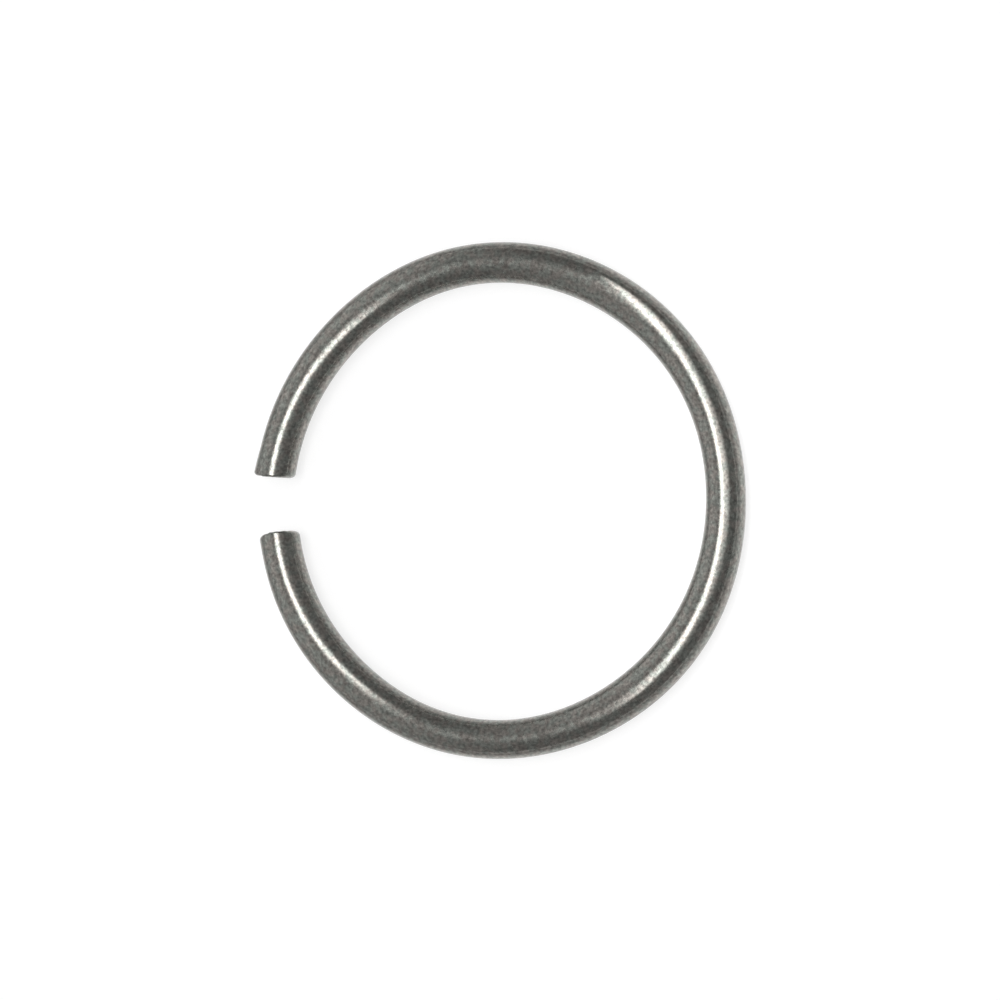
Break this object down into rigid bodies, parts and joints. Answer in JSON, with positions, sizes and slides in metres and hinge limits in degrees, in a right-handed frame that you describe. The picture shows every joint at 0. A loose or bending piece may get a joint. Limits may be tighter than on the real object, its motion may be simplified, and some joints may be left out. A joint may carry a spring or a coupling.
{
  "type": "circlip retaining ring",
  "caption": "Open ring of round spring wire with cropped ends, which snaps into a shaft's groove and keeps a part from sliding along it.",
  "frame": {"origin": "centre of the ring, in the plane of the wire's middle", "axes": "+Z along the ring's axis, -X through the gap between the ends, +Y towards the leg that is sprung slightly open"},
  "size_m": [0.0258, 0.0256, 0.002],
  "materials": {
    "spring_steel": "bare drawn spring-steel wire, dull grey with fine draw marks"
  },
  "bodies": {
    "root": {"retaining_ring": "spring_steel"}
  },
  "joints": []
}
